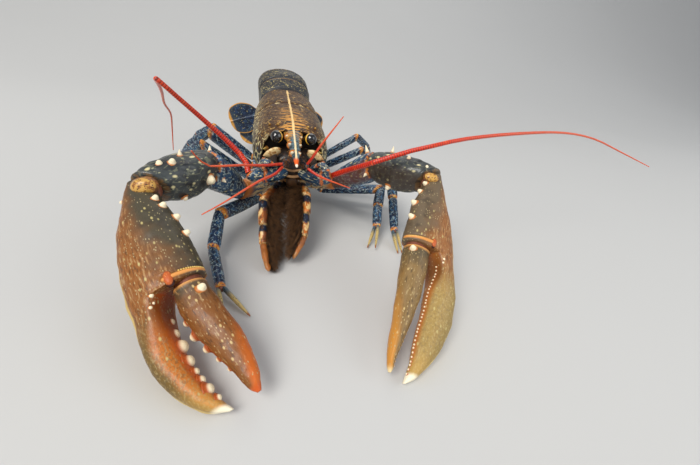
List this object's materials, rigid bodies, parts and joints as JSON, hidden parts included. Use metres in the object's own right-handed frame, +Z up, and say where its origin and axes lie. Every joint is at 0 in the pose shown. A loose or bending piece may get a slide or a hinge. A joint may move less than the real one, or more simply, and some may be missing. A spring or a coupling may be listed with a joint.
{
  "type": "european lobster",
  "caption": "Life-size lobster standing on its claws and legs, with one heavy crushing claw, one slimmer cutting claw, raised feelers and a flexed tail.",
  "frame": {"origin": "middle of the bounding box, on the floor", "axes": "+Z up, -Y the way the animal faces, +X to its left, towards the long feeler"},
  "size_m": [0.4426, 0.3708, 0.109],
  "materials": {
    "carapace_shell": "semi-gloss dark brown shell with a cream net",
    "underside": "satin cream shell",
    "face_plate": "satin blue shell with orange edges",
    "tail_shell": "semi-gloss blue-black shell with pale flecks",
    "tail_fan": "satin blue shell with an orange rim",
    "eye": "glossy black",
    "feeler_base": "satin blue shell with orange edges",
    "feeler": "satin red",
    "mouth_leg": "satin cream, orange and dark blue bands",
    "arm_shell": "semi-gloss grey-blue shell with cream knobs",
    "claw_shell": "semi-gloss rust and slate shell with pale specks",
    "leg_shell": "semi-gloss deep blue marbled shell",
    "leg_tip": "satin pale yellow shell"
  },
  "bodies": {
    "root": {"abdomen_1": "tail_shell", "abdomen_2": "tail_shell", "abdomen_3": "tail_shell", "abdomen_4": "tail_shell", "abdomen_5": "tail_shell", "abdomen_6": "tail_shell", "antenna_base_l": "feeler_base", "antenna_base_r": "feeler_base", "antenna_l": "feeler", "antenna_r": "feeler", "antennule_l": "feeler", "antennule_r": "feeler", "carapace": "carapace_shell", "crusher_carpus_r": "arm_shell", "crusher_dactyl_r": "claw_shell", "crusher_merus_r": "arm_shell", "crusher_palm_r": "claw_shell", "cutter_carpus_l": "arm_shell", "cutter_dactyl_l": "claw_shell", "cutter_merus_l": "arm_shell", "cutter_palm_l": "claw_shell", "epistome": "face_plate", "eye_l": "eye", "eye_r": "eye", "leg_2_lower_l": "leg_shell", "leg_2_lower_r": "leg_shell", "leg_2_toe_l": "leg_tip", "leg_2_toe_r": "leg_tip", "leg_2_upper_l": "leg_shell", "leg_2_upper_r": "leg_shell", "leg_3_lower_l": "leg_shell", "leg_3_lower_r": "leg_shell", "leg_3_toe_l": "leg_tip", "leg_3_toe_r": "leg_tip", "leg_3_upper_l": "leg_shell", "leg_3_upper_r": "leg_shell", "leg_4_lower_l": "leg_shell", "leg_4_lower_r": "leg_shell", "leg_4_toe_l": "leg_tip", "leg_4_toe_r": "leg_tip", "leg_4_upper_l": "leg_shell", "leg_4_upper_r": "leg_shell", "leg_5_lower_l": "leg_shell", "leg_5_lower_r": "leg_shell", "leg_5_toe_l": "leg_tip", "leg_5_toe_r": "leg_tip", "leg_5_upper_l": "leg_shell", "leg_5_upper_r": "leg_shell", "maxilliped_l": "mouth_leg", "maxilliped_r": "mouth_leg", "sternum": "underside", "telson": "tail_shell", "uropod_endopod_l": "tail_fan", "uropod_endopod_r": "tail_fan", "uropod_exopod_l": "tail_fan", "uropod_exopod_r": "tail_fan"}
  },
  "joints": []
}
